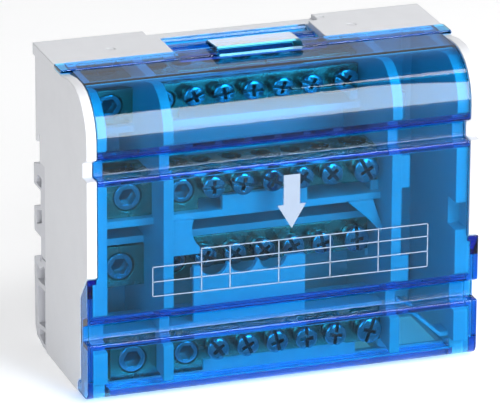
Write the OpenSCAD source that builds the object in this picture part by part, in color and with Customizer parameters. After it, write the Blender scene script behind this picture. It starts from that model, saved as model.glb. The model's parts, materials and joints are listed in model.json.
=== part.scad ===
// Power distribution block, four poles, for a 35 mm top-hat rail.
// Millimetres. +Z is up, the front faces -Y, X runs to the right seen from the
// front. The origin is the centre of the box at its bottom.

/* [Body] */
// Overall width, six modules of 18 mm
body_w = 108; // [106:0.5:112]
// Height of the grey housing
body_h = 84; // [83.5:0.1:85]
// Depth from the front face to the back of the rail feet
body_d = 49; // [48.8:0.1:50]
// Thickness of the outer side plates, seen as the pale rim beside the cover
rim_t = 2.75; // [2.4:0.05:3]
// Radius of the curved top front edge
nose_r = 13; // [12:0.5:13.5]

/* [Grooves] */
// Depth of the two grooves that edge the 45 mm nose
groove_d = 3.8; // [3:0.1:4]
// Lower edge of the upper groove
groove1_z = 61.3; // [61:0.1:61.6]
// Lower edge of the lower groove
groove2_z = 16.3; // [16:0.1:16.5]

/* [Cover] */
// Wall thickness of the transparent cover
cover_t = 2; // [1.6:0.1:2.2]
// Height at which the cover widens over the side plates
step_z = 34.5; // [34:0.1:35]
// Depth of the side skirts of the cover
skirt_d = 6.3; // [5.5:0.1:6.4]
// Thickness of the side skirts
skirt_t = 1.8; // [1.5:0.1:1.8]
// Width of the finger lip on top of the cover
lip_w = 23.2; // [18:0.2:30]
// Radius of the two hinge pins moulded on the skirts
pin_r = 1.1; // [1:0.05:1.2]
// Radial clearance of the hinge pins in the housing
pin_gap = 0.08; // [0.04:0.01:0.1]

/* [Terminals] */
// Pitch of the five small outlets
pitch = 8.15; // [8:0.05:8.2]
// Radius of the small wire holes
hole_s = 2.65; // [2:0.05:2.65]
// Radius of the 7.5 mm wire holes
hole_m = 3.75; // [3:0.05:3.75]
// Radius of the 9 mm wire holes
hole_l = 4.5; // [3.5:0.1:4.5]
// Radial clearance of each screw in its hole
screw_gap = 0.05; // [0.02:0.01:0.08]

/* [Rail] */
// Width of the mounting rail
rail_w = 35; // [35:0.1:35.2]
// Height of the middle of the rail above the bottom
rail_z = 42; // [41.8:0.1:42.2]
// Depth of the face that rests on the rail
seat_y = 42.5; // [42.4:0.1:42.6]

/* [Hidden] */
$fn = 64;
eps = 0.01;
hw = body_w / 2;              // half width
xi = hw - rim_t;              // inner face of the side plates
xw = hw - 6;                  // inner face of the inner side walls
xs = hw - skirt_t;            // inner face of the skirts
px0 = 30; px1 = 32.8;         // partitions
yo = -body_d / 2;             // front plane in the part's frame
hinge_y = 7.5; hinge_z = 2;   // hinge axis, from the front plane
hook_z = rail_z + rail_w / 2 + 0.4;
slot_z = rail_z - rail_w / 2;
strip_y0 = 22.5; strip_y1 = 28.4;
win_x = 21;                   // half width of the entry window in the top

// rows: z of the middle, y of the bar's front face
row_z = [73, 53.3, 31.5, 9.5];
row_y = [29, 12.7, 19.6, 8.9];
bar_h = 5.6;                  // half height of the thick section
bar_dz = 1.7;                 // drop of the thick section's middle
bar_hs = 4.3;                 // half height of the thin section
bar_he = 4.6;                 // half height of the end section
bar_dl = 13.8;                // depth of the thick section
bar_ds = 10.2;                // depth of the thin section
bar_de = 12.2;                // depth of the end section
bar_lo = bar_h + bar_dz;      // lowest point below the row's middle
// x of the eight terminals of a bar
tx = [-39.3, -24.4, -17, -17 + pitch, -17 + 2 * pitch, -17 + 3 * pitch, -17 + 4 * pitch, 25.1];
// the shelves lie under the two upper bars and over the two lower ones
shelf_z = [row_z[0] - bar_lo - 2, row_z[1] - bar_lo - 2, row_z[2] + bar_he, row_z[3] + bar_he];

// ---------- helpers ----------
// extrude a (y, z) outline from x0 to x1
module along_x(x0, x1) { translate([x0, 0, 0]) rotate([90, 0, 90]) linear_extrude(x1 - x0) children(); }
// extrude an (x, z) outline from y0 to y1
module along_y(y0, y1) { translate([0, y1, 0]) rotate([90, 0, 0]) linear_extrude(y1 - y0) children(); }
module both_sides() { children(); mirror([1, 0, 0]) children(); }
module box(x0, x1, y0, y1, z0, z1) { translate([x0, y0, z0]) cube([x1 - x0, y1 - y0, z1 - z0]); }

// a groove across the front, grown by e on the inside
module groove(z, e) {
    d = groove_d + e;
    polygon([[-5, z - e], [d, z - e], [d, z + 3.9 + 0.618 * e],
             [e, z + 5.8 + 0.618 * e], [-5, z + 8.3 + 0.618 * e]]);
}
// everything behind the front surface, inset by e, down to z0 and back to y1
module front(e, z0, y1) {
    cz = body_h - nose_r;
    difference() {
        union() {
            translate([e, z0]) square([y1 - e, cz - z0]);
            translate([nose_r, cz]) circle(r = nose_r - e, $fn = 128);
            translate([nose_r, z0]) square([y1 - nose_r, body_h - e - z0]);
        }
        groove(groove1_z, e);
        groove(groove2_z, e);
    }
}
// the lower part of the cover with its rounded bottom edge, inset by e
module low_front(e, y1) {
    difference() {
        union() {
            translate([e, 3.5]) square([y1 - e, step_z - 3.5]);
            translate([3, 0.5 + e]) square([y1 - 3, 10]);
            translate([3, 3.5]) circle(r = 3 - e);
        }
        groove(groove2_z, e);
    }
}

// room below the lower groove for the cover's rib as it swings
module swing_room() difference() {
    translate([-1, hinge_z]) square([hinge_y + 1, 12.3]);
    translate([hinge_y, hinge_z]) circle(r = 12.05, $fn = 128);
}

// ---------- housing ----------
// back contour shared by the walls, as a (y, z) region to keep
module back_zone(e) {
    polygon([[0, 0], [38 - e, 0], [38 - e, 52.5 + e], [seat_y - e, 52.5 + e], [seat_y - e, hook_z + e],
             [46 - e, hook_z + e], [46 - e, body_h], [0, body_h]]);
}
module hook_outline() {
    // lip behind the upper edge of the rail, and the lip along the top edge
    polygon([[43.9, hook_z], [43.9, 57.9], [44.6, 57.4], [46, 57.4], [46, hook_z]]);
    translate([45.9, 80.7]) square([2.3, 3.3]);
}
module side_cuts() {
    // seat of the strip that ends the cover, with a gentle lead-in before it
    polygon([[16.5, body_h], [strip_y0 - 0.2, body_h - 0.9], [strip_y1 + 0.2, body_h - 0.9], [strip_y1 + 0.2, 90], [16.5, 90]]);
    // room for the skirt
    polygon([[-1, -1], [10, -1], [10, 1], [skirt_d + 0.3, 4.8], [skirt_d + 0.3, 27.5], [0.7, step_z + 0.3], [-1, step_z + 0.3]]);
    translate([hinge_y, hinge_z]) circle(r = 2.25);
}

module housing() translate([0, yo, 0]) color([0.86, 0.87, 0.89]) {
    difference() {
        union() {
            both_sides() {
                // outer side plate with the rim
                along_x(xi, hw) difference() {
                    union() {
                        intersection() { front(0, 0, 47); back_zone(0); }
                        hook_outline();
                    }
                    side_cuts();
                }
                // inner side wall behind the cover
                along_x(xw, xi + eps) difference() {
                    intersection() { front(cover_t + 0.4, 0, 47); back_zone(0); }
                    translate([-1, 81.4]) square([strip_y1 + 1.2, 5]);
                    translate([-1, -1]) square([10.6, 5.4]);
                    swing_room();
                }
                // the same wall beside the skirt, and the lug for the hinge pin
                along_x(xi, xs - 0.2) difference() {
                    intersection() { front(cover_t + 0.4, 0, 12); translate([0, 4.4]) square([12, step_z - 4.4]); }
                    groove(groove2_z, cover_t + 0.4);
                    swing_room();
                }
                along_x(xw, xs - 0.2) difference() {
                    union() {
                        translate([hinge_y, hinge_z]) circle(r = 2.4);
                        translate([hinge_y, 0]) square([4, 4.4]);
                        translate([hinge_y - 1.4, 3.6]) square([5, 1.6]);
                    }
                    translate([0, -5]) square([20, 5]);
                }
            }
            // back wall, floor of the rail recess and step above it
            along_x(-xi - eps, xi + eps) {
                difference() { back_zone(0); back_zone(2); translate([-1, -1]) square([32, 90]); }
                hook_outline();
            }
            // top plate
            box(-xi - eps, xi + eps, strip_y1 + 0.2, 46, 82, body_h);
            // floor
            box(-xi - eps, xi + eps, 9.6, 38, 0, 2);
            // sill below the small terminals of the lowest row
            box(-19.6, 23, 9.6, 11.4, 0, 4.9);
            // diagonal rib in the empty right channel
            along_y(6, 12) polygon([[33.1, 16.2], [33.1, 17.4], [45.5, 6], [48.1, 6], [48.1, 4.7], [45.6, 4.7]]);
        }
        // entry window in the top, open to the back
        box(-win_x, win_x, 20, 44.2, 78, 90);
        box(-win_x - 2.5, win_x + 2.5, 43, 60, 82.8, 90);
        // cable openings in the floor
        box(-47.5, -33.2, 10.6, 33, -1, 3);
        box(-29.4, 29.4, 11.4, 33, -1, 3);
        box(33.2, 47.5, 10.6, 33, -1, 3);
        // notch in the right inner wall
        box(xw - 1, xi, 0, 8, 36, 43.5);
        // slots that guide the rail clips
        both_sides() box(40.8, 45.2, 33, 39, 2.2, 18.4);
        // bores for the hinge pins
        both_sides() translate([xw - 1, hinge_y, hinge_z]) rotate([0, 90, 0]) cylinder(r = pin_r + pin_gap, h = 8, $fn = 48);
        // shallow moulding marks on the top
        for (x = [-36, 30.9]) translate([x, 36.5, body_h - 0.25]) cylinder(r = 1.2, h = 1, $fn = 32);
        translate([23.9, 44.4, body_h - 0.3]) cube([2.2, 1.2, 1]);
    }
}

// ---------- rail frame ----------
module frame_block(z0, z1, s) {
    polygon([[seat_y - 1.4, z0], [48.4, z0], [48.6, z0 + 0.4], [48.6, z1 - s], [seat_y - 1.4, z1 + 0.3]]);
}
module frame_pockets() {
    polygon([[41.6, 45.6], [44.1, 45.2], [46.4, 45.6], [46, 47.6], [44, 48.2], [41.6, 48]]);
    polygon([[41.6, 35.6], [46.4, 33.8], [46.2, 37.8], [41.6, 39.2]]);
}
module rail_frame() translate([0, yo, 0]) color([0.80, 0.81, 0.83]) {
    difference() {
        union() {
            box(-hw + 0.15, hw - 0.15, 38, seat_y, slot_z + 1.5, 52.5);
            both_sides() along_x(40, hw - 0.15) { frame_block(44.4, 52, 1.6); frame_block(31.2, 40.4, 2.2); }
        }
        // pockets in both ends of the feet, with a closed web between
        both_sides() along_x(44.5, hw + 1) frame_pockets();
        both_sides() along_x(39, 41.5) intersection() { frame_pockets(); translate([seat_y, 0]) square([10, 90]); }
        // shallow channel between the feet
        box(-38, 38, 41.3, 50, 28, 50);
    }
}

// ---------- rail clips ----------
module rail_clip() translate([0, yo, 0]) color([0.80, 0.81, 0.83]) {
    difference() {
        along_x(38, hw - 0.15) difference() {
            polygon([[38.2, 0.3], [41.4, 0.3], [47, 1.6], [48.6, 4.2], [49, 23.7], [43.9, 25.8], [43.9, 24.2],
                     [seat_y - 0.2, 24.2], [seat_y - 0.2, 25.6], [38.2, 25.6]]);
            polygon([[39.3, 18.6], [46.2, 18.2], [46.8, 22.6], [44, 21.6], [40.4, 23.6], [39.3, 23.2]]);
            polygon([[39.3, 6.6], [45.2, 5.9], [46, 16.6], [39.3, 16.9]]);
            polygon([[39.3, 5.3], [45, 4.6], [44.6, 2.8], [41.4, 1.6], [39.3, 1.6]]);
        }
    }
    // closed web in the middle of the lattice
    along_x(44.5, 46.5) polygon([[39, 2], [46, 3.6], [47.4, 20], [46, 22], [39, 22]]);
    // T-shaped guide through the back wall of the housing
    box(41, 45, 35.6, 38.4, 6, 18);
    box(39.4, 46.6, 33.8, 35.8, 6, 18);
}

// ---------- carrier ----------
module shelf_outlines() {
    translate([27, shelf_z[0]]) square([17, 2]);
    translate([10.7, shelf_z[1]]) square([25.3, 2]);
    translate([19, shelf_z[2]]) square([17, 2]);
    translate([8.2, shelf_z[3]]) square([14.5, 2]);
}
module carrier() translate([0, yo, 0]) color([0.84, 0.86, 0.88]) {
    difference() {
        union() {
            both_sides() along_x(px0, px1) difference() {
                intersection() { front(cover_t + 0.4, 0, 45); back_zone(2); }
                translate([-1, 81.4]) square([50, 5]);
                polygon([[-1, -1], [9.9, -1], [9.9, 4.4], [6, 4.2], [2, 3], [-1, 3]]);
                translate([9, -1]) square([40, 3]);
                swing_room();
            }
            along_x(-px0 - eps, px0 + eps) shelf_outlines();
            along_x(-xw + 0.2, -px1 + eps) shelf_outlines();
            // ledges that carry the free ends of the bars
            for (i = [0:3]) box(i < 2 ? 27.8 : 29.05, px0 + eps, row_y[i], row_y[i] + 12, row_z[i] - (i < 2 ? bar_lo + 1 : bar_he + 2), row_z[i] - bar_he);
            // sill below the small terminals of the second row
            box(-14, 9.5, 10.7, 12.5, shelf_z[1], row_z[1] - 3.4);
            // plate with scoops in front of the third row
            along_y(8.6, 10.2) difference() {
                translate([-22.6, shelf_z[3] + 0.2]) square([31, 31.8 - shelf_z[3] - 0.2]);
                for (i = [2:4]) translate([tx[i], 32.2]) circle(r = 3.7, $fn = 48);
            }
            // shield beside the second outlet with one large scoop
            along_y(9.6, 11.2) difference() {
                translate([-30.1, 34.8]) square([9.7, shelf_z[1] + 0.5 - 34.8]);
                translate([-15.4, 41.8]) circle(r = 7.2, $fn = 64);
            }
            box(-30.1, -28.6, 9.6, 19.2, shelf_z[2], shelf_z[1] + 0.5);
            // slanted gusset at the right
            along_y(9.4, 11.2) polygon([[20.5, 44.4], [27.5, 44.4], [30.05, 37], [30.05, 34.8], [25.7, 39.6]]);
            // short ribs along the empty channel
            box(px1 - eps, 35.4, 3.6, 5.2, 49, 58);
            box(px1 - eps, 35.4, 3.6, 5.2, 22.5, 30);
        }
        // windows that the bars pass through
        for (i = [0:3]) box(-34, -29, row_y[i] - 0.1, row_y[i] + bar_dl + 0.1, row_z[i] - bar_lo, row_z[i] - bar_dz + bar_h + 0.1);
    }
}

// ---------- cover ----------
module skirt_outline() {
    intersection() {
        low_front(0, 12);
        polygon([[-1, 0], [9, 0], [skirt_d, 3.4], [skirt_d, 27.6], [0.3, step_z], [-1, step_z]]);
    }
    translate([hinge_y, hinge_z]) circle(r = 1.9);
    translate([4, 0.5]) square([3.5, 3]);
}
module cover() translate([0, yo, 0]) color([0.05, 0.45, 0.85, 0.45]) {
    difference() {
        union() {
            // curved upper shell between the rims
            along_x(-xi + 0.2, xi - 0.2) difference() {
                front(0, step_z - 3, strip_y1);
                front(cover_t, 0, 60);
            }
            // lower shell over the full width, with its return below
            along_x(-hw, hw) difference() {
                low_front(0, 7.2);
                low_front(cover_t, 20);
                translate([4, 6]) square([20, 60]);
            }
        }
        // the return stops short of the hinge lugs
        both_sides() box(xw - 0.4, xs, cover_t, 12, -1, 5);
        both_sides() box(xs - 3.2, xs - 2, -1, 12, -1, 1.1);
        // the upper edge slants down beside the rims
        both_sides() along_x(xi, hw + 1) polygon([[0.3, step_z], [skirt_d, 27.6], [12, 27.6], [12, step_z + 1], [0.3, step_z + 1]]);
    }
    // skirts with knuckles and pins
    both_sides() {
        along_x(xs, hw) skirt_outline();
        translate([xw + 0.8, hinge_y, hinge_z]) rotate([0, 90, 0]) cylinder(r = pin_r, h = hw - xw - 1.8, $fn = 48);
    }
    // strip along the top, as wide as the housing, thin where it lies on the rims
    box(-xi + 0.2, xi - 0.2, strip_y0, strip_y1, 82, body_h + 0.35);
    both_sides() box(xi - 0.3, hw, strip_y0, strip_y1, body_h - 0.65, body_h + 0.35);
    // tongue that closes the entry window
    along_x(-win_x + 0.7, win_x - 0.7) polygon([[26.2, 82.2], [26.2, 80.4], [43.7, 80.4], [43.7, 83], [42.3, 83], [42, 82.2],
        [37.2, 82.2], [37, 83.2], [35.6, 83.2], [35.4, 82.2]]);
    // finger lip
    along_x(-lip_w / 2, lip_w / 2) polygon([[19.8, 83.9], [20.6, 85], [22.4, 86], [24.8, 86.4], [30.4, 86.4], [31.4, 85.9], [31.6, 84.5],
        [29.6, 84.4], [28.4, 84], [28.4, 83.9]]);
}

// ---------- bars ----------
module busbar(n) translate([0, yo, 0]) color([0.80, 0.66, 0.32]) {
    y = row_y[n]; z = row_z[n];
    difference() {
        union() {
            box(-45.4, -19.9, y, y + bar_dl, z - bar_lo, z - bar_dz + bar_h);
            box(-20, 20.1, y, y + bar_ds, z - bar_hs, z + bar_hs);
            box(20, 29.7, y, y + bar_de, z - bar_he, z + bar_he);
        }
        for (i = [0:7]) translate([tx[i], y, z - drop(i)]) {
            yc = wire_y(i); r = wire_r(i);
            translate([0, yc, -20]) cylinder(r = r, h = 40, $fn = 48);
            rotate([-90, 0, 0]) translate([0, 0, -1]) cylinder(r = screw_r(i) + screw_gap, h = yc + 1, $fn = 48);
        }
    }
}
// the two terminals of the thick section sit a little lower
function drop(i) = i < 2 ? bar_dz : 0;
function wire_r(i) = i == 0 ? hole_l : i == 1 ? hole_m : i < 7 ? hole_s : hole_m;
function wire_y(i) = i == 0 ? 7.9 : i == 1 ? 7.6 : i < 7 ? 6.4 : 7;
function screw_r(i) = i == 0 ? 3.9 : i == 1 ? 3.4 : i < 7 ? 2.5 : 3;
function head_r(i) = i < 7 ? 3.05 : 3.5;
// depth of the wire hole's front wall, where the tip stops
function tip_y(i) = wire_y(i) - wire_r(i) - 0.25;

// ---------- screws ----------
// headless screw with a hexagon socket, front face at y = 0
module socket_screw(r, l, af) rotate([-90, 0, 0]) difference() {
    rotate_extrude($fn = 48) polygon([[0, 0], [r - 0.5, 0], [r, 0.5], [r, l - 0.6], [r - 0.6, l], [0, l]]);
    translate([0, 0, -1]) cylinder(r = af / sqrt(3), h = 1 + min(l - 1.2, 2.4), $fn = 6);
}
// screw with a cheese head and a combined slot and cross, head towards -y
module head_screw(r, hr, l) rotate([-90, 0, 0]) difference() {
    rotate_extrude($fn = 48) polygon([[0, -4.7], [hr - 0.5, -4.7], [hr - 0.15, -4.55], [hr, -4.2], [hr, -2.4], [r, -2.4], [r, l - 0.5], [r - 0.5, l], [0, l]]);
    translate([0, 0, -4.1]) cube([2 * hr + 1, 0.9, 1.4], center = true);
    translate([0, 0, -4]) cube([1, 3.6, 2], center = true);
}
module clamp_screw(n, i) color([0.78, 0.79, 0.80]) translate([tx[i], yo + row_y[n], row_z[n] - drop(i)]) {
    if (i < 2) socket_screw(screw_r(i), tip_y(i), i == 0 ? 4.2 : 3.8);
    else rotate([0, 12 * (i - 4) + 25 * n, 0]) head_screw(screw_r(i), head_r(i), tip_y(i));
}

housing();
rail_frame();
mirror([1, 0, 0]) rail_clip();  // rail_clip_left
rail_clip();  // rail_clip_right
carrier();
cover();
for (n = [0:3]) {
    busbar(n);
    for (i = [0:7]) clamp_screw(n, i);
}
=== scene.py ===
"""Power distribution block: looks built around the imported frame. Metres, +Z up, the front faces -Y."""
import json
import math

import bmesh
import bpy
from mathutils import Matrix, Vector

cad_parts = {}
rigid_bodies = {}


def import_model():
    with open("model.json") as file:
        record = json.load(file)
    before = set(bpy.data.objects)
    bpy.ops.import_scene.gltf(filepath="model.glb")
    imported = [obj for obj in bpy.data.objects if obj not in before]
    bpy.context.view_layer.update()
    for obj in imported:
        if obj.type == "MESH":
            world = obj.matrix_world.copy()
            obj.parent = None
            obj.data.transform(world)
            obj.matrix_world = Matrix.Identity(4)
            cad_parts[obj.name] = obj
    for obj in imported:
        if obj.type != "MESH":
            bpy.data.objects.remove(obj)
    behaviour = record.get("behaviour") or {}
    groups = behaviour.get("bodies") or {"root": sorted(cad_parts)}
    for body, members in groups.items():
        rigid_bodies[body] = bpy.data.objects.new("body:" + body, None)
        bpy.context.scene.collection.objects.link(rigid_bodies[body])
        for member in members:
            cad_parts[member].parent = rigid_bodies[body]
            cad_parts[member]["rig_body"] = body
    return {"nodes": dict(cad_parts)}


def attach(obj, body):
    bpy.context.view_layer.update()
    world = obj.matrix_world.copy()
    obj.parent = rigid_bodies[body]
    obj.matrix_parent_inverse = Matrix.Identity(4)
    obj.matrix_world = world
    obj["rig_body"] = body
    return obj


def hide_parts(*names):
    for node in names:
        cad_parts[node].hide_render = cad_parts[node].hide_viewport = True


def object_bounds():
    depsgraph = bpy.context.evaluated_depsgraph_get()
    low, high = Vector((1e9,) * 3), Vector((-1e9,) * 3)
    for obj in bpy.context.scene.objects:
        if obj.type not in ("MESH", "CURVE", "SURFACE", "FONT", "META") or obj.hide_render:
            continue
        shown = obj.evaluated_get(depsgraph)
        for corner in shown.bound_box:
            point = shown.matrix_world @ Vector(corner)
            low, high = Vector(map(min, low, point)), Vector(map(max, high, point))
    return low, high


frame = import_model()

cad_lo, cad_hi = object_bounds()
scene = bpy.context.scene
MM = 0.001
YO = -24.5          # front plane of the block in the row frame, in mm
HW = 54.0           # half width
XI = 51.25          # inner face of the side plates
XS = 52.2           # inner face of the skirts

# ---------------------------------------------------------------- camera
YAW, PITCH, ROLL = 0.330278, 0.353871, 0.0053399
fwd = Vector((math.sin(YAW) * math.cos(PITCH), math.cos(YAW) * math.cos(PITCH), -math.sin(PITCH)))
right = Vector((math.cos(YAW), -math.sin(YAW), 0.0))
up = right.cross(fwd)
r2 = right * math.cos(ROLL) + up * math.sin(ROLL)
u2 = -right * math.sin(ROLL) + up * math.cos(ROLL)
cam_data = bpy.data.cameras.new("camera")
cam_data.lens = 363.56
cam_data.sensor_width = 36.0
cam_data.sensor_fit = "HORIZONTAL"
cam_data.clip_start, cam_data.clip_end = 0.05, 50.0
cam = bpy.data.objects.new("camera", cam_data)
scene.collection.objects.link(cam)
cam.matrix_world = Matrix((
    (r2.x, u2.x, -fwd.x, -0.40762),
    (r2.y, u2.y, -fwd.y, -1.18479),
    (r2.z, u2.z, -fwd.z, 0.503685),
    (0, 0, 0, 1)))
scene.camera = cam


# ---------------------------------------------------------------- materials
def material(name, color, rough, metallic=0.0, **more):
    m = bpy.data.materials.new(name)
    m.use_nodes = True
    nt = m.node_tree
    p = nt.nodes["Principled BSDF"]
    p.inputs["Base Color"].default_value = (*color, 1)
    p.inputs["Roughness"].default_value = rough
    p.inputs["Metallic"].default_value = metallic
    for k, v in more.items():
        p.inputs[k.replace("_", " ")].default_value = v
    return m, nt, p


def noise(nt, scale, detail=2.0, rough=0.5, dist=0.0, stretch=None):
    tc = nt.nodes.new("ShaderNodeTexCoord")
    n = nt.nodes.new("ShaderNodeTexNoise")
    n.inputs["Scale"].default_value = scale
    n.inputs["Detail"].default_value = detail
    n.inputs["Roughness"].default_value = rough
    n.inputs["Distortion"].default_value = dist
    if stretch:
        mp = nt.nodes.new("ShaderNodeMapping")
        mp.inputs["Scale"].default_value = stretch
        nt.links.new(tc.outputs["Object"], mp.inputs["Vector"])
        nt.links.new(mp.outputs["Vector"], n.inputs["Vector"])
    else:
        nt.links.new(tc.outputs["Object"], n.inputs["Vector"])
    return n.outputs["Fac"]


def ramp(nt, fac, stops):
    r = nt.nodes.new("ShaderNodeValToRGB")
    els = r.color_ramp.elements
    while len(els) < len(stops):
        els.new(0.5)
    for e, (pos, col) in zip(els, stops):
        e.position = pos
        e.color = col if len(col) == 4 else (*col, 1)
    nt.links.new(fac, r.inputs["Fac"])
    return r.outputs["Color"]


def grey3(v):
    return (v, v, v)


def bump(nt, p, fac, strength, distance):
    b = nt.nodes.new("ShaderNodeBump")
    b.inputs["Strength"].default_value = strength
    b.inputs["Distance"].default_value = distance
    nt.links.new(fac, b.inputs["Height"])
    nt.links.new(b.outputs["Normal"], p.inputs["Normal"])
    return b


def math_node(nt, op, a, b, c=None):
    n = nt.nodes.new("ShaderNodeMath")
    n.operation = op
    for i, v in enumerate((a, b) if c is None else (a, b, c)):
        if isinstance(v, (int, float)):
            n.inputs[i].default_value = v
        else:
            nt.links.new(v, n.inputs[i])
    return n.outputs[0]


def multiply(nt, col, fac):
    n = nt.nodes.new("ShaderNodeMix")
    n.data_type = "RGBA"
    n.blend_type = "MULTIPLY"
    n.inputs[0].default_value = 1.0
    nt.links.new(col, n.inputs[6])
    nt.links.new(fac, n.inputs[7])
    return n.outputs[2]


def plastic(name, color, rough=0.42, grain=9000, depth=0.00002, vary=0.02, shade=None):
    """Moulded plastic: fine spark-eroded grain, faint flow shading and a slightly uneven gloss."""
    m, nt, p = material(name, color, rough)
    p.inputs["IOR"].default_value = 1.5
    fine = noise(nt, grain, 3.0, 0.6)
    broad = noise(nt, 60, 3.0, 0.55, 0.4)
    lo = tuple(max(0.0, c * (1 - vary)) for c in color)
    hi = tuple(min(1.0, c * (1 + vary * 0.6)) for c in color)
    col = ramp(nt, broad, [(0.3, lo), (0.7, hi)])
    # painted shade: the given shade ramp is multiplied into the colour
    if shade:
        col = multiply(nt, col, shade(nt))
    nt.links.new(col, p.inputs["Base Color"])
    nt.links.new(ramp(nt, noise(nt, 260, 4.0, 0.6), [(0.3, grey3(rough - 0.05)), (0.7, grey3(rough + 0.07))]), p.inputs["Roughness"])
    bump(nt, p, fine, 0.35, depth)
    return m


def axes(nt):
    tc = nt.nodes.new("ShaderNodeTexCoord")
    sep = nt.nodes.new("ShaderNodeSeparateXYZ")
    nt.links.new(tc.outputs["Object"], sep.inputs[0])
    return sep.outputs


def bay_shade(nt):
    """Painted shade along y: the colour is a little darker at the front of the carrier and full further back."""
    y = math_node(nt, "MULTIPLY_ADD", axes(nt)["Y"], 25.0, 0.6)
    return ramp(nt, y, [(0.0, grey3(0.95)), (0.09, grey3(0.95)), (0.24, grey3(1.0)), (0.5, grey3(1.0)), (0.9, grey3(1.0))])


def deep_shade(nt):
    """Less light comes back from the depth of the bays: 1 at the front edges, less behind them."""
    y = math_node(nt, "MULTIPLY_ADD", axes(nt)["Y"], 25.0, 0.6)      # 0 at y = -24 mm, 1 at y = 16 mm
    return ramp(nt, y, [(0.0, grey3(0.9)), (0.09, grey3(0.85)), (0.24, grey3(0.8)), (0.5, grey3(0.72)), (0.9, grey3(0.70))])


def housing_shade(nt):
    """The same shade on the inner faces of the housing only, the outside stays pale."""
    ax = axes(nt)
    inside = math_node(nt, "LESS_THAN", math_node(nt, "ABSOLUTE", ax["X"], 0.0), 0.0514)
    inside = math_node(nt, "MULTIPLY", inside, math_node(nt, "LESS_THAN", ax["Y"], 0.0128))
    inside = math_node(nt, "MULTIPLY", inside, math_node(nt, "LESS_THAN", ax["Z"], 0.0819))
    inside = math_node(nt, "MULTIPLY", inside, math_node(nt, "GREATER_THAN", ax["Z"], 0.0005))
    mix = nt.nodes.new("ShaderNodeMix")
    mix.data_type = "RGBA"
    nt.links.new(inside, mix.inputs[0])
    mix.inputs[6].default_value = (1, 1, 1, 1)
    nt.links.new(deep_shade(nt), mix.inputs[7])
    return mix.outputs[2]


grey = plastic("grey_moulded", (0.70, 0.71, 0.74), 0.45, shade=housing_shade)
grey_dark = plastic("grey_frame", (0.60, 0.61, 0.65), 0.48, 7000)
# the carrier's colour carries painted shade along y from bay_shade
inner = plastic("inner_moulded", (0.57, 0.58, 0.59), 0.40, 8000, shade=bay_shade)


def brass_material():
    m, nt, p = material("brass_bar", (0.50, 0.42, 0.28), 0.26, 1.0)
    blot = noise(nt, 90, 4.0, 0.6, 0.5)
    nt.links.new(ramp(nt, blot, [(0.25, (0.48, 0.40, 0.27)), (0.5, (0.52, 0.44, 0.30)), (0.8, (0.56, 0.48, 0.34))]), p.inputs["Base Color"])
    nt.links.new(ramp(nt, noise(nt, 160, 3.0, 0.5), [(0.2, grey3(0.22)), (0.8, grey3(0.30))]), p.inputs["Roughness"])
    bump(nt, p, noise(nt, 1500, 2.0, 0.5), 0.03, 0.00001)
    return m


def zinc_material():
    m, nt, p = material("zinc_plated", (0.62, 0.65, 0.68), 0.2, 1.0)
    blot = noise(nt, 220, 3.0, 0.55, 0.3)
    col = ramp(nt, blot, [(0.3, (0.55, 0.58, 0.61)), (0.7, (0.68, 0.71, 0.74))])
    # painted shade: at each row of screws the slots, sockets and sides of the heads are darkened by a ramp along y, the
    # faces and rims keep the full colour
    ax = axes(nt)
    depth = math_node(nt, "MULTIPLY_ADD", ax["Y"], 1000 / 49.0, 0.5)
    heads, sockets = [(0.0, grey3(1.0))], [(0.0, grey3(1.0))]
    for y in (8.9, 12.7, 19.6, 29.0):
        heads += [((y - 4.7 + d) / 49.0, grey3(v)) for d, v in ((0.3, 0.9), (0.6, 0.28), (1.9, 0.2), (2.3, 0.7))]
        sockets += [((y + d) / 49.0, grey3(v)) for d, v in ((0.2, 1.0), (0.8, 0.4), (2.6, 0.22), (2.9, 0.9))]
    mix = nt.nodes.new("ShaderNodeMix")
    mix.data_type = "RGBA"
    nt.links.new(math_node(nt, "GREATER_THAN", ax["X"], -0.0207), mix.inputs[0])
    nt.links.new(ramp(nt, depth, sockets), mix.inputs[6])
    nt.links.new(ramp(nt, depth, heads), mix.inputs[7])
    nt.links.new(multiply(nt, col, mix.outputs[2]), p.inputs["Base Color"])
    nt.links.new(ramp(nt, noise(nt, 260, 2.0, 0.5), [(0.3, grey3(0.14)), (0.7, grey3(0.20))]), p.inputs["Roughness"])
    bump(nt, p, noise(nt, 1800, 2.0, 0.5), 0.03, 0.000005)
    return m


brass = brass_material()
zinc = zinc_material()


def clear_material(name, tint, shadow_tint, depth_color, density, rough=0.02, ior=1.43):
    """Transparent dyed plastic. The dye takes more the longer the way through, so thick edges are deep in colour.
    Lamps reach what lies behind it, tinted, through a transparent shader on shadow rays."""
    m, nt, p = material(name, tint, rough)
    p.inputs["Transmission Weight"].default_value = 1.0
    p.inputs["IOR"].default_value = ior
    wave = noise(nt, 55, 2.0, 0.5, 0.3)
    bump(nt, p, wave, 0.12, 0.0003)
    tr = nt.nodes.new("ShaderNodeBsdfTransparent")
    tr.inputs["Color"].default_value = (*shadow_tint, 1)
    lp = nt.nodes.new("ShaderNodeLightPath")
    mix = nt.nodes.new("ShaderNodeMixShader")
    out = nt.nodes["Material Output"]
    nt.links.new(lp.outputs["Is Shadow Ray"], mix.inputs[0])
    nt.links.new(p.outputs[0], mix.inputs[1])
    nt.links.new(tr.outputs[0], mix.inputs[2])
    nt.links.new(mix.outputs[0], out.inputs["Surface"])
    ab = nt.nodes.new("ShaderNodeVolumeAbsorption")
    ab.inputs["Color"].default_value = (*depth_color, 1)
    ab.inputs["Density"].default_value = density
    nt.links.new(ab.outputs[0], out.inputs["Volume"])
    return m


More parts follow.
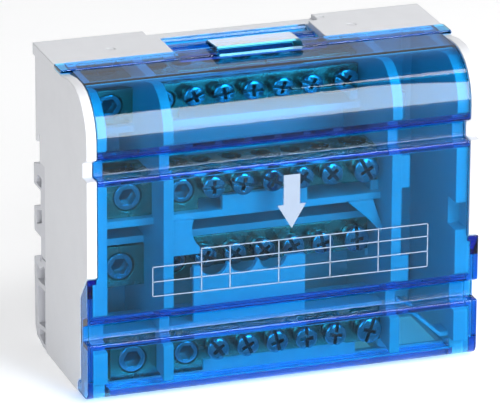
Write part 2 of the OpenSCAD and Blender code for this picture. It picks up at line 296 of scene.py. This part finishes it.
clear_blue = clear_material("clear_blue", (0.60, 0.74, 0.87), (0.775, 0.86, 0.933), (0.0, 0.82, 0.958), 980.0)
clear_lip = clear_material("clear_blue_lip", (0.66, 0.80, 0.92), (0.775, 0.86, 0.933), (0.0, 0.84, 0.962), 300.0)
white_ink, nt_, p_ = material("white_ink", (0.27, 0.34, 0.45), 0.5)
nt_.links.new(ramp(nt_, noise(nt_, 4000, 3.0, 0.6), [(0.25, (0.24, 0.31, 0.42)), (0.6, (0.29, 0.36, 0.47))]), p_.inputs["Base Color"])


# ---------------------------------------------------------------- mesh helpers
def to_object(name, bm, mat, body, replaces=(), sharp=35.0, weighted=True):
    me = bpy.data.meshes.new(name)
    bm.to_mesh(me)
    bm.free()
    me.materials.clear()
    me.materials.append(mat)
    for f in me.polygons:
        f.use_smooth = True
        f.material_index = 0
    me.set_sharp_from_angle(angle=math.radians(sharp))
    o = bpy.data.objects.new(name, me)
    scene.collection.objects.link(o)
    if weighted:
        w = o.modifiers.new("weighted", "WEIGHTED_NORMAL")
        w.keep_sharp = True
        w.weight = 80
    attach(o, body)
    if replaces:
        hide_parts(*replaces)
    return o


def soften(bm, width, segments=2, angle=28.0, join=False):
    """Rounds every edge sharper than angle."""
    bmesh.ops.remove_doubles(bm, verts=bm.verts, dist=2e-6)
    bmesh.ops.dissolve_degenerate(bm, edges=bm.edges, dist=1e-6)
    if join:
        bmesh.ops.dissolve_limit(bm, angle_limit=math.radians(0.2), use_dissolve_boundaries=False,
                                 verts=bm.verts, edges=bm.edges, delimit=set())
    sharp = [e for e in bm.edges if len(e.link_faces) == 2 and e.calc_face_angle(0) > math.radians(angle)]
    if sharp:
        bmesh.ops.bevel(bm, geom=sharp, offset=width, offset_type="OFFSET", segments=segments, profile=0.5,
                        affect="EDGES", clamp_overlap=False, loop_slide=False, miter_outer="SHARP", miter_inner="SHARP")
    bmesh.ops.recalc_face_normals(bm, faces=bm.faces)
    return bm


def from_node(node):
    bm = bmesh.new()
    bm.from_mesh(frame["nodes"][node].data)
    return bm


def add_prism(bm, outline, a0, a1, axis="x"):
    """Closed prism of an outline in mm: (y, z) along x, (x, z) along y or (x, y) along z; y counts from the front plane."""
    def at(u, v, a):
        if axis == "x":
            return Vector((a, u + YO, v)) * MM
        if axis == "y":
            return Vector((u, a + YO, v)) * MM
        return Vector((u, v + YO, a)) * MM
    lo = [bm.verts.new(at(u, v, a0)) for u, v in outline]
    hi = [bm.verts.new(at(u, v, a1)) for u, v in outline]
    n = len(outline)
    bm.faces.new(lo)
    bm.faces.new(hi)
    for i in range(n):
        bm.faces.new((lo[i], lo[(i + 1) % n], hi[(i + 1) % n], hi[i]))


def prism_object(name, outline, a0, a1, axis="x"):
    bm = bmesh.new()
    add_prism(bm, outline, a0, a1, axis)
    bmesh.ops.recalc_face_normals(bm, faces=bm.faces)
    me = bpy.data.meshes.new(name)
    bm.to_mesh(me)
    bm.free()
    o = bpy.data.objects.new(name, me)
    scene.collection.objects.link(o)
    return o


def boolean(target, other, operation):
    mod = target.modifiers.new("b", "BOOLEAN")
    mod.operation = operation
    mod.object = other
    mod.solver = "EXACT"
    dg = bpy.context.evaluated_depsgraph_get()
    me = bpy.data.meshes.new_from_object(target.evaluated_get(dg))
    target.modifiers.clear()
    old = target.data
    target.data = me
    bpy.data.meshes.remove(old)
    bpy.data.objects.remove(other)


def arc(cy, cz, r, a0, a1, n):
    """Points on a circle, angles in degrees from +y towards +z."""
    return [(cy + r * math.cos(math.radians(a0 + (a1 - a0) * i / n)), cz + r * math.sin(math.radians(a0 + (a1 - a0) * i / n))) for i in range(n + 1)]


def fillet(points, n=4):
    """Rounds the corners of a closed outline: points are (u, v) or (u, v, radius)."""
    out = []
    k = len(points)
    for i, p in enumerate(points):
        r = p[2] if len(p) > 2 else 0
        b = Vector(p[:2])
        if not r:
            out.append((b.x, b.y))
            continue
        a, c = Vector(points[i - 1][:2]), Vector(points[(i + 1) % k][:2])
        u, v = (a - b).normalized(), (c - b).normalized()
        half = math.acos(max(-1, min(1, u.dot(v)))) / 2
        t = r / math.tan(half)
        t = min(t, (a - b).length * 0.49, (c - b).length * 0.49)
        r = t * math.tan(half)
        centre = b + (u + v).normalized() * (r / math.sin(half))
        s, e = b + u * t - centre, b + v * t - centre
        ang = s.angle_signed(e) if s.length and e.length else 0
        for j in range(n + 1):
            q = s.copy()
            q.rotate(Matrix.Rotation(-ang * j / n, 2))
            out.append((centre.x + q.x, centre.y + q.y))
    return out


# ---------------------------------------------------------------- cover
def groove_outer(z):
    return [(0.0, z + 5.8, 0.9), (3.8, z + 3.9, 0.7), (3.8, z, 0.5), (0.0, z, 0.5)]


def groove_inner(z):
    return [(2.0, z - 2.0, 0.3), (5.8, z - 2.0, 0.4), (5.8, z + 5.136, 0.4), (2.0, z + 7.036, 0.4)]


F0 = 0.04           # the cover's front face stands this far behind the front plane, the print lies on it
G1, G2 = 61.3, 16.3
bottom_outer = [(F0, 3.5)] + [(3 + (3 - F0) * math.cos(t), 3.5 + 3 * math.sin(t)) for t in [math.pi + math.pi / 2 * i / 10 for i in range(1, 11)]]
bottom_inner = [(3 + 1 * math.cos(t), 3.5 + 1 * math.sin(t)) for t in [math.pi * 1.5 - math.pi / 2 * i / 6 for i in range(0, 7)]]


def f0(pts):
    return [((F0 if p[0] == 0.0 else p[0]), *p[1:]) for p in pts]


# full section: over the top, down the front, round the bottom and back up inside
top_curve = [(13 + (13 - F0) * math.cos(t), 71 + 13 * math.sin(t)) for t in [math.pi / 2 + math.pi / 2 * i / 48 for i in range(49)]]
inner_curve = arc(13, 71, 11, 180, 90, 40)
section = ([(28.4, 84.0)] + top_curve + f0(groove_outer(G1)) + f0(groove_outer(G2)) + bottom_outer
           + [(7.2, 0.5, 0.4), (7.2, 2.5, 0.4)] + bottom_inner + groove_inner(G2) + groove_inner(G1) + inner_curve + [(28.4, 82.0)])
low_section = ([(2.0, 34.5), (F0, 34.5)] + f0(groove_outer(G2)) + bottom_outer
               + [(7.2, 0.5, 0.4), (7.2, 2.5, 0.4)] + bottom_inner + groove_inner(G2))
cover = prism_object("cover_clear", fillet(section), -XI + 0.2, XI - 0.2)
boolean(cover, prism_object("t", fillet(low_section), -HW, HW), "UNION")
# the lower part slants down beside the rims, and its return stops short of the hinge lugs
for s in (-1, 1):
    x0, x1 = sorted((s * XI, s * 60.0))
    boolean(cover, prism_object("t", [(0.3, 34.5), (6.3, 27.6), (12, 27.6), (12, 36), (-1, 36), (-1, 34.5)], x0, x1), "DIFFERENCE")
    x0, x1 = sorted((s * 47.6, s * XS))
    boolean(cover, prism_object("t", [(2, -1), (12, -1), (12, 5), (2, 5)], x0, x1), "DIFFERENCE")
    x0, x1 = sorted((s * XS, s * HW))
    skirt = [(F0, 34.4), (F0, 24), (0.2, 22.1, 0.9), (3.8, 20.2, 0.7), (3.8, 16.3, 0.5), (F0, 16.3, 0.5)] + bottom_outer + [
        (8.6, 0.5), (9.1, 1.2), (9.3, 2.2), (8.9, 3.3), (8.0, 3.85), (6.6, 3.7), (6.3, 4.2), (6.3, 27.6), (0.3, 34.5)]
    boolean(cover, prism_object("t", fillet(skirt), x0, x1), "UNION")
# strip along the top
boolean(cover, prism_object("t", fillet([(22.5, 82.0), (22.5, 84.35, 0.3), (28.4, 84.35, 0.3), (28.4, 82.0)]), -XI + 0.2, XI - 0.2), "UNION")
boolean(cover, prism_object("t", fillet([(22.5, 83.35), (22.5, 84.35, 0.3), (28.4, 84.35, 0.3), (28.4, 83.35)]), -HW, HW), "UNION")
# tongue and finger lip
boolean(cover, prism_object("t", fillet([(26.2, 82.2), (26.2, 80.4), (43.7, 80.4, 0.3), (43.7, 83, 0.3), (42.3, 83, 0.3), (42, 82.2, 0.3),
        (37.2, 82.2, 0.3), (37, 83.2, 0.3), (35.6, 83.2, 0.3), (35.4, 82.2, 0.3)]), -20.3, 20.3), "UNION")
lip_top = fillet([(19.9, 84.37), (20.2, 85.2, 0.8), (21.6, 86.2, 1.2), (22.8, 86.4, 0.8), (30.6, 85.8, 0.5), (31.5, 85.4, 0.4), (31.6, 84.6, 0.3), (29.6, 84.37)], 5)
lip = prism_object("t", lip_top, -11.6, 11.6)
bm = bmesh.new()
bm.from_mesh(cover.data)
bpy.data.objects.remove(cover)
soften(bm, 0.22 * MM, 3, 32.0, True)
cover = to_object("cover_clear", bm, clear_blue, "cover", ["cover"], 40)
bm = bmesh.new()
bm.from_mesh(lip.data)
bpy.data.objects.remove(lip)
soften(bm, 0.22 * MM, 3, 50.0)
to_object("cover_lip", bm, clear_lip, "cover", [], 40)

# ---------------------------------------------------------------- print on the cover
def ink(bm, outline, y0=0.004, y1=0.05):
    add_prism(bm, outline, y0, y1, "y")


def line(bm, x0, z0, x1, z1, w=0.27):
    d = Vector((x1 - x0, z1 - z0)).normalized()
    n = Vector((-d.y, d.x)) * (w / 2)
    e = d * (w / 2)
    ink(bm, [(x0 + n.x - e.x, z0 + n.y - e.y), (x1 + n.x + e.x, z1 + n.y + e.y), (x1 - n.x + e.x, z1 - n.y + e.y), (x0 - n.x - e.x, z0 - n.y - e.y)])


bm = bmesh.new()
ink(bm, [(-0.6, 57.4), (3.9, 57.4), (3.9, 49.2), (5.6, 49.2), (1.65, 42.6), (-2.3, 49.2), (-0.6, 49.2)])
bmesh.ops.recalc_face_normals(bm, faces=bm.faces)
to_object("print_arrow", bm, white_ink, "cover", weighted=False)
bm = bmesh.new()
line(bm, -23.0, 39.8, 39.6, 39.4)
line(bm, -36.3, 36.1, 39.6, 35.9)
line(bm, -36.3, 32.0, 39.6, 31.7)
line(bm, -36.3, 28.0, 39.6, 27.4)
line(bm, -36.3, 36.1, -36.3, 28.0)
line(bm, 39.6, 39.4, 39.6, 27.4)
for x in (-23.0, -15.2, -1.8, 12.4, 25.8):
    line(bm, x, 39.6, x, 27.7)
bmesh.ops.recalc_face_normals(bm, faces=bm.faces)
to_object("print_table", bm, white_ink, "cover", weighted=False)

# ---------------------------------------------------------------- CAD pieces with softened edges
def restyle(node, mat, width, segments=2, body=None, angle=28.0):
    bm = soften(from_node(node), width * MM, segments, angle)
    return to_object(node + "_soft", bm, mat, body or frame["nodes"][node]["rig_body"], [node])


restyle("housing", grey, 0.25, 3)
restyle("rail_frame", grey_dark, 0.2)
restyle("rail_clip_left", grey_dark, 0.2)
restyle("rail_clip_right", grey_dark, 0.2)
restyle("carrier", inner, 0.2)
for n in range(1, 5):
    restyle(f"busbar_{n}", brass, 0.18)
for node in frame["nodes"]:
    if node.startswith("screw_"):
        restyle(node, zinc, 0.08)

# ---------------------------------------------------------------- floor, world and lights
floor_mat, nt_, p_ = material("floor", (0.93, 0.93, 0.935), 0.7)
p_.inputs["Emission Color"].default_value = (1, 1, 1, 1)
p_.inputs["Emission Strength"].default_value = 0.3
bm = bmesh.new()
bmesh.ops.create_grid(bm, x_segments=1, y_segments=1, size=6.0)
me = bpy.data.meshes.new("floor")
bm.to_mesh(me)
bm.free()
me.materials.append(floor_mat)
floor = bpy.data.objects.new("floor", me)
floor.location.z = cad_lo.z - 0.00005
scene.collection.objects.link(floor)

# dark card lying in front of the block, which only mirrors see, so that the clear wall isn't veiled by the floor
bm = bmesh.new()
bmesh.ops.create_grid(bm, x_segments=1, y_segments=1, size=0.5)
me = bpy.data.meshes.new("dark_card")
bm.to_mesh(me)
bm.free()
card_mat, nt_, p_ = material("dark_card", (0.42, 0.43, 0.45), 0.9)
me.materials.append(card_mat)
card = bpy.data.objects.new("dark_card", me)
card.location = (0.1, -0.53, cad_lo.z + 0.0002)
scene.collection.objects.link(card)
card.visible_camera = card.visible_diffuse = card.visible_shadow = False

world = bpy.data.worlds.new("studio")
scene.world = world
world.use_nodes = True
wn = world.node_tree
bg = wn.nodes["Background"]
tc = wn.nodes.new("ShaderNodeTexCoord")
sep = wn.nodes.new("ShaderNodeSeparateXYZ")
wn.links.new(tc.outputs["Generated"], sep.inputs[0])


def world_ramp(out, stops):
    r = wn.nodes.new("ShaderNodeValToRGB")
    els = r.color_ramp.elements
    while len(els) < len(stops):
        els.new(0.5)
    for e, (pos, v) in zip(els, stops):
        e.position, e.color = pos, (v, v, v, 1)
    wn.links.new(out, r.inputs["Fac"])
    return r.outputs["Color"]


def world_math(op, a, b):
    n = wn.nodes.new("ShaderNodeMath")
    n.operation = op
    for i, v in enumerate((a, b)):
        if isinstance(v, (int, float)):
            n.inputs[i].default_value = v
        else:
            wn.links.new(v, n.inputs[i])
    return n.outputs[0]


# a bright backdrop low behind the block, a dark ceiling over and in front of it, mid grey elsewhere
half_y = world_math("MULTIPLY_ADD", sep.outputs["Y"], 0.5)
half_y.node.inputs[2].default_value = 0.5
back = world_ramp(half_y, [(0.45, 0.0), (0.62, 1.0)])
height = world_ramp(sep.outputs["Z"], [(0.0, 0.62), (0.60, 0.80), (0.80, 0.40), (0.95, 0.16)])
low_band = world_ramp(sep.outputs["Z"], [(0.09, 0.0), (0.13, 1.0), (0.24, 1.0), (0.29, 0.0)])
right_side = world_ramp(world_math("ADD", sep.outputs["X"], 0.0), [(0.02, 0.0), (0.18, 1.0), (0.55, 1.0), (0.75, 0.0)])
height = world_math("ADD", height, world_math("MULTIPLY", world_math("MULTIPLY", low_band, right_side), 2.0))
front_h = world_ramp(sep.outputs["Z"], [(0.0, 0.30), (0.45, 0.25), (0.70, 0.10), (1.0, 0.10)])
level = world_math("ADD", world_math("MULTIPLY", back, height), world_math("MULTIPLY", world_math("SUBTRACT", 1.0, back), front_h))
# the studio's left wall is a little darker
left = world_ramp(world_math("MULTIPLY", world_math("ADD", sep.outputs["X"], 1.0), 0.5), [(0.0, 0.64), (0.30, 0.73), (0.43, 1.0)])
level = world_math("MULTIPLY", level, left)
wn.links.new(level, bg.inputs["Strength"])
bg.inputs["Color"].default_value = (0.985, 0.99, 1.0, 1)


def area(name, at, size, power, target=(0, 0, 0.045), color=(1, 1, 1)):
    d = bpy.data.lights.new(name, "AREA")
    d.shape = "RECTANGLE"
    d.size, d.size_y = size
    d.energy = power
    d.color = color
    o = bpy.data.objects.new(name, d)
    scene.collection.objects.link(o)
    o.location = at
    o.rotation_euler = (Vector(target) - Vector(at)).to_track_quat("-Z", "Y").to_euler()
    o.visible_camera = False
    return o


area("front_panel", (0.175, -0.52, 0.27), (0.18, 0.54), 3.0, (0.0, 0.0, 0.05))
area("key_right", (0.75, -0.55, 1.15), (0.5, 0.5), 7.5)
area("key_left", (-0.65, -0.45, 1.15), (0.5, 0.5), 2.0)
area("bay_fill", (-0.24, -0.62, 0.16), (0.25, 0.25), 1.6)
scene.view_settings.view_transform = "Standard"
scene.view_settings.look = "None"
